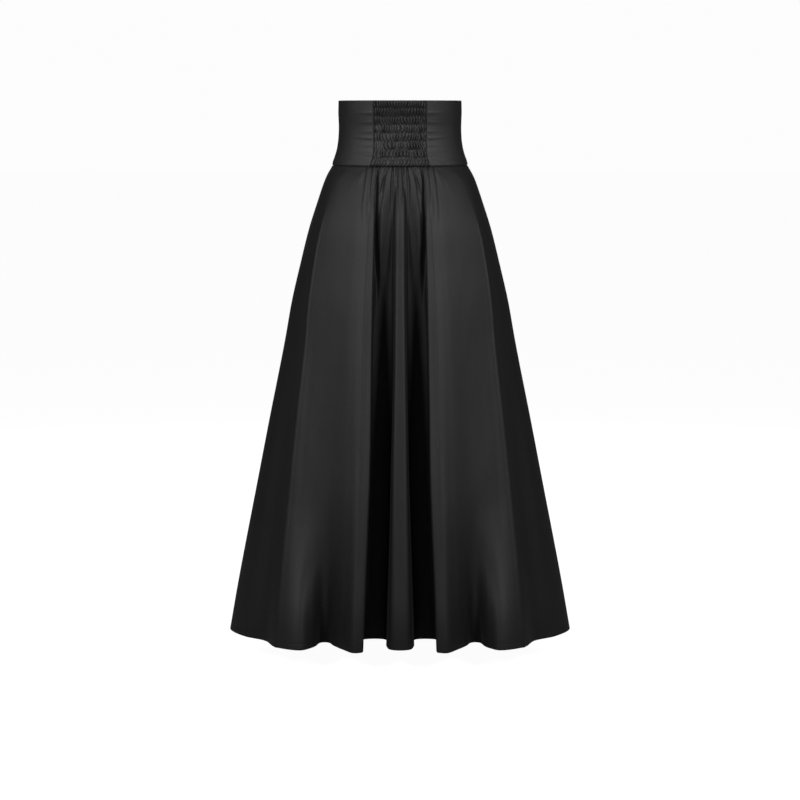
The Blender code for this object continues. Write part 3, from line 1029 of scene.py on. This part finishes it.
@dataclass(frozen=True)
class Shirring:
    """The puckers of the elasticated cloth, in channels between its rows of elastic."""

    # How full each channel is, from the top down.
    fullness: tuple[float, ...] = (0.80, 0.75, 0.75, 0.85, 0.95, 1.05, 1.10, 0.95)

    # How closely the puckers stand, and how far they stray and lean.
    pitch: float = 0.0058
    pitch_at_top: float = 0.86
    pitch_growth: float = 0.28
    stray: float = 0.715
    lean: float = 0.49

    # How high they stand, and how the height spreads down a channel and along it.
    height: float = 0.0038
    base: float = 0.0014
    low: float = 1.25
    fill: float = 0.6
    sharpness: float = 1.5
    softening: float = 0.5
    size_mean: float = 0.90
    size_waver: float = 0.9

    # How far the stitches of a row pull it in, and how far the row strays from level.
    row_dip: float = 0.0002
    row_dip_reach: float = 0.0009
    row_dip_mean: float = 0.6
    row_dip_waver: float = 0.8
    row_wander: float = 0.14

    def channel_depth(self) -> float:
        """Depth of one channel."""
        return (WAISTBAND_TOP - WAIST_SEAM) / len(self.fullness)

    def sag(self, along: float, z: float) -> float:
        """How far the rows of elastic stray from level, as a share of a channel."""
        return self.row_wander * uneven(along * 70.0, z * 25.0, 3.0)

    def pucker(self, along: float, z: float) -> float:
        """Height of the shirred cloth.

        Args:
            along: Distance along the waist from the middle.
            z: The height.

        Returns:
            Height out of the plain outline: ridges between the rows of elastic, which nip them flat
            and set those of the next channel between them.
        """
        channels = len(self.fullness)
        depth = self.channel_depth()
        down = min(max((WAISTBAND_TOP - z) / depth + self.sag(along, z), 0.0), channels - 1e-6)
        channel = int(down)
        share = down - channel
        arch = math.sin(math.pi * share**self.low)
        sharpness = self.sharpness - self.softening * down / channels - self.softening * arch
        ridge = abs(math.cos(math.pi * self._phase(along, z, down))) ** sharpness
        size = self.size_mean + self.size_waver * uneven(along * 110.0, channel * 5.3, 4.0)
        rise = self.height * self.fullness[channel] * size * (ridge - 0.5) * arch**self.fill
        to_row = min(share, 1.0 - share) * depth
        pull = self.row_dip_mean + self.row_dip_waver * uneven(along * 300.0, round(down) * 2.1, 7.0)
        return self.base + rise - dip_at(to_row, self.row_dip * pull, self.row_dip_reach)

    def _phase(self, along: float, z: float, down: float) -> float:
        """Puckers counted along the waist, half a pucker on from one channel to the next."""
        channel = int(down)
        pitch = self.pitch * (self.pitch_at_top + self.pitch_growth * down / len(self.fullness))
        stray = self.stray * uneven(along * 55.0, channel * 3.7, 0.5)
        lean = self.lean * uneven(along * 40.0, z * 110.0, 9.0)
        return along / pitch + 0.5 * channel + stray + lean


@dataclass
class Waistband:
    """The deep waistband: doubled cloth folded over at its top, shirred in the middle of the front."""

    mean_radius: float = 0.105

    # The shirred panel: its puckers, its half widths and how its top edge stands out.
    shirring: Shirring = Shirring()
    shirred_top: float = 0.0520
    shirred_seam: float = 0.0590
    widens_from: float = -0.045
    shirred_columns: int = 212
    shirred_rows: int = 172
    along_share: float = 1.05
    top_flare: float = 0.0030
    flares_from: float = 0.0150
    facing_relief: float = -0.5

    # The rows of elastic stitches.
    stitches_end: float = 0.0020
    stitch_proud: float = 0.0001
    half_steps: int = 120

    # The plain panels: their unevenness and the trough below each drag line.
    front_columns: int = 64
    front_rows: int = 84
    back_columns: int = 120
    back_rows: int = 60
    front_wander: float = 0.0004
    back_wander: float = 0.0007
    drag_trough: float = 0.4
    drag_trough_below: float = 0.0075
    drag_trough_half_width: float = 0.0050

    # The upright seams, the top fold, the turn into the waist seam and the inner layer.
    upright_dip: float = 0.0008
    upright_dip_reach: float = 0.0016
    fold_radius: float = 0.0010
    foot_radius: float = 0.0012
    facing_below_seam: float = 0.0080
    facing_cells: int = 9
    facing_ease: float = 0.0009
    facing_eases_from: float = -0.062
    facing_eases_over: float = 0.0100

    def shirred_edge(self, z: float) -> float:
        """Half width of the shirred panel at a height."""
        share = max(0.0, (self.widens_from - z) / (self.widens_from - WAIST_SEAM))
        return self.shirred_top + (self.shirred_seam - self.shirred_top) * min(share, 1.0) ** 1.5

    def angle_at(self, x: float, z: float) -> float:
        """Angle round the waist at which the outline is x from the middle."""
        return math.asin(x / outline(WAISTBAND_SECTIONS, z)[0])

    def point(self, angle: float, z: float, raised: float, side: Side) -> Vector:
        """Point of the waistband.

        Args:
            angle: Angle round the waist from the middle, negative to the left.
            z: The height.
            raised: Height out of the outline, or less than 0 inside it.
            side: Which face of the garment it is on.

        Returns:
            The point, in the row frame.
        """
        half_width, front, back = outline(WAISTBAND_SECTIONS, z)
        depth = front if side is Side.FRONT else back
        out = Vector((math.sin(angle) / half_width, math.cos(angle) / depth)).normalized()
        x = half_width * math.sin(angle) + raised * out.x
        y = depth * math.cos(angle) + raised * out.y + SEAM_GAP / 2
        return Vector((x, side.value * y, z))

    def turns(self, face_rows: int) -> list[Turn]:
        """Rows of a band panel, from inside the skirt, over the top fold and down to the seam.

        Args:
            face_rows: Cells down the outer face.

        Returns:
            The rows, from the foot of the facing to the outer seam.
        """
        radius = self.fold_radius
        foot = self.foot_radius
        top = WAISTBAND_TOP - radius
        low = WAIST_SEAM - self.facing_below_seam
        rows = []
        for i in range(self.facing_cells):
            z = low + (top - low) * i / self.facing_cells
            eased = ease((self.facing_eases_from - z) / self.facing_eases_over)
            rows.append(Turn(z, 2 * radius + self.facing_ease * eased, 0.0))
        for k in range(FOLD_CELLS + 1):
            angle = math.pi * k / FOLD_CELLS
            inset = radius * (1 + math.cos(angle))
            rows.append(Turn(top + radius * math.sin(angle), inset, ease(k / FOLD_CELLS)))
        for i in range(1, face_rows + 1):
            rows.append(Turn(top + (WAIST_SEAM + foot - top) * i / face_rows, 0.0, 1.0))
        for angle in (math.pi / 6, math.pi / 3, math.pi / 2):
            rows.append(Turn(WAIST_SEAM + foot * (1 - math.sin(angle)), foot * (1 - math.cos(angle)), 1.0))
        return rows

    def drag(self, angle: float, z: float) -> float:
        """Height of the drag lines on the plain front panels, each with a faint trough below it."""
        edge = self.angle_at(self.shirred_edge(z), z)
        away = (abs(angle) - edge) * self.mean_radius
        height = self.front_wander * uneven(angle * 3.0, z * 30.0, 2.0)
        for line in DRAG_LINES:
            share = away / line.length
            if share < 1.0:
                size = line.height * (1.0 - share) ** 1.5
                up = z - line.z + line.fall * share
                trough = bump(up + self.drag_trough_below, self.drag_trough_half_width)
                height += size * (bump(up, line.half_width) - self.drag_trough * trough)
        return height

    def seam_roll(self, away: float) -> float:
        """How far the cloth dips into an upright seam."""
        return dip_at(away, self.upright_dip, self.upright_dip_reach)

    def _row(self, turn: Turn, places: Sequence[tuple[float, float]], side: Side) -> list[Vector]:
        """Lays one row of a panel.

        Args:
            turn: The row.
            places: Each point's angle round the waist and its height out of the outline.
            side: Which face of the garment it is on.

        Returns:
            The row's points.
        """
        row = []
        for angle, raised in places:
            point = self.point(angle, max(turn.z, WAIST_SEAM), raised, side)
            point.z = turn.z
            row.append(point)
        return row

    def build_shirred(self, material: bpy.types.Material) -> bpy.types.Object:
        """Makes the shirred middle panel."""
        columns = self.shirred_columns
        grid = []
        for turn in self.turns(self.shirred_rows):
            z = max(turn.z, WAIST_SEAM)
            half_width = self.shirred_edge(z)
            edge = self.angle_at(half_width - SEAM_GAP / 2, z)
            inner = ease((turn.z - WAIST_SEAM) / 0.010) * ease((WAISTBAND_TOP - turn.z) / 0.008)
            flare = self.top_flare * ease((z - self.flares_from) / (WAISTBAND_TOP - self.flares_from))
            places = []
            for column in range(columns + 1):
                share = 2.0 * column / columns - 1.0
                away = (1.0 - abs(share)) * half_width
                pucker = self.shirring.pucker(share * half_width * self.along_share, z)
                height = pucker * ease(away / 0.0035) - self.seam_roll(away)
                relief = (turn.relief or self.facing_relief * inner) * height
                places.append((share * edge, relief - turn.inset + flare * ease(away / 0.015)))
            grid.append(self._row(turn, places, Side.FRONT))
        return cloth_sheet("shirred_panel_cloth", grid, material)

    def build_front(self, hand: Hand, material: bpy.types.Material) -> bpy.types.Object:
        """Makes the plain front panel of one side."""
        grid = []
        for turn in self.turns(self.front_rows):
            z = max(turn.z, WAIST_SEAM)
            start = self.angle_at(self.shirred_edge(z) + SEAM_GAP / 2, z)
            turned = 0.5 * math.pi - start
            places = []
            for share in crowded_shares(self.front_columns):
                angle = start + turned * share
                away = min(share, 1.0 - share) * turned * self.mean_radius
                height = self.drag(angle, z) * ease(away / 0.004) - self.seam_roll(away)
                places.append((hand.value * angle, turn.relief * height - turn.inset))
            if hand is Hand.LEFT:
                places.reverse()
            grid.append(self._row(turn, places, Side.FRONT))
        return cloth_sheet(f"waistband_front_{hand.name.lower()}_cloth", grid, material)

    def build_back(self, material: bpy.types.Material) -> bpy.types.Object:
        """Makes the plain back panel."""
        grid = []
        for turn in self.turns(self.back_rows):
            z = max(turn.z, WAIST_SEAM)
            places = []
            for share in crowded_shares(self.back_columns):
                angle = math.pi * (0.5 - share)
                away = min(share, 1.0 - share) * math.pi * self.mean_radius
                wander = self.back_wander * uneven(angle * 3.0, z * 26.0, 6.0)
                height = wander * ease(away / 0.006) - self.seam_roll(away)
                places.append((angle, turn.relief * height - turn.inset))
            grid.append(self._row(turn, places, Side.BACK))
        return cloth_sheet("waistband_back_cloth", grid, material)

    def elastic_paths(self) -> list[list[Vector]]:
        """Points along each row of elastic stitching on the shirred panel."""
        paths = []
        depth = self.shirring.channel_depth()
        for k in range(1, len(self.shirring.fullness)):
            z = WAISTBAND_TOP - depth * k
            half_width = self.shirred_edge(z)
            edge = self.angle_at(half_width - self.stitches_end, z)
            path = []
            for i in range(2 * self.half_steps + 1):
                share = i / self.half_steps - 1
                along = share * half_width * self.along_share
                row = z + depth * self.shirring.sag(along, z)
                raised = self.shirring.pucker(along, row) + self.stitch_proud
                path.append(self.point(edge * share, row, raised, Side.FRONT))
            paths.append(path)
        return paths


# ---------------------------------------------------------------- studio

WHITE = (1.0, 1.0, 1.0, 1.0)


class SoftBox(NamedTuple):
    """A square soft light."""

    name: str
    place: tuple[float, float, float]
    aim: tuple[float, float, float]
    size: float
    power: float


@dataclass
class Studio:
    """A pale floor, soft light and the photograph's camera."""

    floor: float = HEM - 0.045
    floor_half: float = 30.0
    floor_tone: float = 0.20
    floor_roughness: float = 0.9
    floor_specular: float = 0.1
    floor_glow: float = 0.965
    backdrop: float = 0.98
    fill: float = 0.03
    lights: tuple[SoftBox, ...] = (
        SoftBox("left_key", (-1.55, -2.6, 0.85), (0.0, 0.0, -0.1), 0.7, 34.0),
        SoftBox("right_key", (1.55, -2.6, 0.85), (0.0, 0.0, -0.1), 0.7, 34.0),
        SoftBox("left_upper", (-1.2, -1.8, 1.9), (0.0, 0.0, -0.1), 0.7, 7.0),
        SoftBox("right_upper", (1.2, -1.8, 1.9), (0.0, 0.0, -0.1), 0.7, 7.0),
        SoftBox("left_edge", (-2.5, -0.9, 0.8), (0.0, 0.0, -0.15), 0.7, 8.0),
        SoftBox("right_edge", (2.5, -0.9, 0.8), (0.0, 0.0, -0.15), 0.7, 8.0),
        SoftBox("behind_left", (-0.45, 3.0, 0.75), (0.0, 0.0, -0.2), 0.7, 15.0),
        SoftBox("behind_right", (0.45, 3.0, 0.75), (0.0, 0.0, -0.2), 0.7, 15.0),
    )
    camera_place: tuple[float, float, float] = (0.0, -4.96199769, 0.07248771)
    camera_pitch: float = math.radians(-7.0686)
    lens: float = 112.5
    sensor: float = 36.0
    clip_end: float = 60.0

    def build(self) -> None:
        """Sets up the floor, the lights, the surroundings and the camera."""
        self._floor()
        for light in self.lights:
            self._light(light)
        self._surroundings()
        self._camera()
        bpy.context.scene.view_settings.view_transform = "Standard"

    def _floor(self) -> None:
        """Lays the floor, which isn't part of the object and glows only where the camera sees it."""
        shape = bmesh.new()
        bmesh.ops.create_grid(shape, x_segments=1, y_segments=1, size=self.floor_half)
        bmesh.ops.translate(shape, verts=shape.verts[:], vec=(0.0, 0.0, self.floor))
        material, tree, shader = new_material("pale_floor")
        tone = self.floor_tone
        shader.inputs["Base Color"].default_value = (tone, tone, tone, 1.0)
        shader.inputs["Roughness"].default_value = self.floor_roughness
        shader.inputs["Specular IOR Level"].default_value = self.floor_specular
        shader.inputs["Emission Color"].default_value = WHITE
        ray = node(tree, "ShaderNodeLightPath")
        glow = node(tree, "ShaderNodeMath", operation="MULTIPLY")
        glow.inputs[1].default_value = self.floor_glow
        tree.links.new(ray.outputs["Is Camera Ray"], glow.inputs[0])
        tree.links.new(glow.outputs["Value"], shader.inputs["Emission Strength"])
        add_object("floor", shape, material)

    def _light(self, box: SoftBox) -> None:
        """Hangs one soft light and aims it."""
        data = bpy.data.lights.new(box.name, "AREA")
        data.size = box.size
        data.energy = box.power
        light = bpy.data.objects.new(box.name, data)
        light.location = box.place
        aim = Vector(box.aim) - Vector(box.place)
        light.rotation_euler = aim.to_track_quat("-Z", "Y").to_euler()
        bpy.context.scene.collection.objects.link(light)

    def _surroundings(self) -> None:
        """Sets white surroundings, which give only a little light of their own."""
        world = bpy.data.worlds.new("studio")
        world.use_nodes = True
        tree = world.node_tree
        seen = tree.nodes["Background"]
        seen.inputs["Color"].default_value = WHITE
        seen.inputs["Strength"].default_value = self.backdrop
        fill = node(tree, "ShaderNodeBackground")
        fill.inputs["Color"].default_value = WHITE
        fill.inputs["Strength"].default_value = self.fill
        ray = node(tree, "ShaderNodeLightPath")
        mix = node(tree, "ShaderNodeMixShader")
        tree.links.new(ray.outputs["Is Camera Ray"], mix.inputs["Fac"])
        tree.links.new(fill.outputs["Background"], mix.inputs[1])
        tree.links.new(seen.outputs["Background"], mix.inputs[2])
        tree.links.new(mix.outputs["Shader"], tree.nodes["World Output"].inputs["Surface"])
        bpy.context.scene.world = world

    def _camera(self) -> None:
        """Stands the camera at the photograph's angle."""
        data = bpy.data.cameras.new("camera")
        data.lens = self.lens
        data.sensor_width = self.sensor
        data.clip_end = self.clip_end
        camera = bpy.data.objects.new("camera", data)
        camera.location = self.camera_place
        camera.rotation_euler = (math.radians(90.0) + self.camera_pitch, 0.0, 0.0)
        bpy.context.scene.collection.objects.link(camera)
        bpy.context.scene.camera = camera


# ---------------------------------------------------------------- the garment

class Cut(NamedTuple):
    """A sheet's flat cut: width and length, its area where it isn't a rectangle, and how it is held."""

    flat: tuple[float, float]
    area: float | None
    held: Held


@dataclass
class MaxiSkirt:
    """The whole garment: waistband, skirt panels and their sewing."""

    waistband: Waistband
    front: SkirtPanel
    back: SkirtPanel
    skirt_finish: Sateen
    waistband_finish: Sateen
    shirred_finish: Sateen
    thread: Thread

    def build(self) -> None:
        """Makes every piece, and says what each replaces and rides on."""
        thread = self.thread.material()
        skirt = self.skirt_finish.material()
        band = self.waistband_finish.material()
        panels = (
            (self.front, "front", Cut((1.50, 0.947), 0.93, Held.GATHERED)),
            (self.back, "back", Cut((0.95, 0.947), 0.67, Held.HUNG)),
        )
        for panel, where, cut in panels:
            sheet = panel.build(skirt)
            hem = StitchRow(f"hem_stitches_{where}").sew([panel.hem_path()], thread)
            self._sheet(sheet, f"skirt_{where}")
            self._piece(hem)
        shirred = self.waistband.build_shirred(self.shirred_finish.material())
        rows = StitchRow("elastic_rows", pitch=0.0030, length=0.0021, thickness=0.0005)
        elastic = rows.sew(self.waistband.elastic_paths(), thread)
        self._sheet(shirred, "waistband_shirred_panel")
        self._piece(elastic)
        for hand in Hand:
            plain = self.waistband.build_front(hand, band)
            solid = f"waistband_front_{hand.name.lower()}"
            self._sheet(plain, solid)
        plain_back = self.waistband.build_back(band)
        self._sheet(plain_back, "waistband_back")

    def _piece(self, piece: bpy.types.Object) -> None:
        """Tells the frame what a piece rides on, and logs its face count."""
        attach(piece, BODY)
        LOG.info("%s: %d faces", piece.name, len(piece.data.polygons))

    def _sheet(
        self, sheet: bpy.types.Object, solid: str
    ) -> None:
        """Tells the frame what a sheet of cloth rides on, and hides the solid that it stands for.

        Args:
            sheet: The piece.
            solid: The node that it stands for.
        """
        self._piece(sheet)
        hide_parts(solid)


def main() -> None:
    """Dresses the frame and sets up the studio."""
    logging.basicConfig(level=logging.INFO, format="%(name)s: %(message)s")
    front = SkirtPanel(
        name="skirt_front_cloth",
        side=Side.FRONT,
        folds=FRONT_FOLDS,
        gathers=GATHERS + TROUGHS,
        creases=FRONT_CREASES,
        edges=FRONT_EDGES,
        cells=(4, 4, 8, 34, 10, 8, 13, 12, 12, 12, 10, 8, 8, 7, 10),
        rows=108,
    )
    back = SkirtPanel(
        name="skirt_back_cloth",
        side=Side.BACK,
        folds=BACK_FOLDS,
        gathers=(),
        creases=BACK_CREASES,
        edges=(),
        cells=(12, 12, 12, 12, 12, 10, 10, 12),
        rows=80,
    )
    garment = MaxiSkirt(
        waistband=Waistband(),
        front=front,
        back=back,
        skirt_finish=Sateen("black_sateen"),
        # The waistband's copy of the sateen is painted a lighter base tone, a painted brighter light on the
        # band; its higher specular level and roughness are the cloth's own.
        waistband_finish=Sateen(
            "black_sateen_band_painted_light", dark=0.0115, light=0.0160, roughness=0.55, specular=0.56
        ),
        shirred_finish=Sateen("black_sateen_shirred", roughness=0.46, rumple_depth=0.0002),
        thread=Thread("black_thread"),
    )
    garment.build()
    Studio().build()


if __name__ == "__main__":
    main()
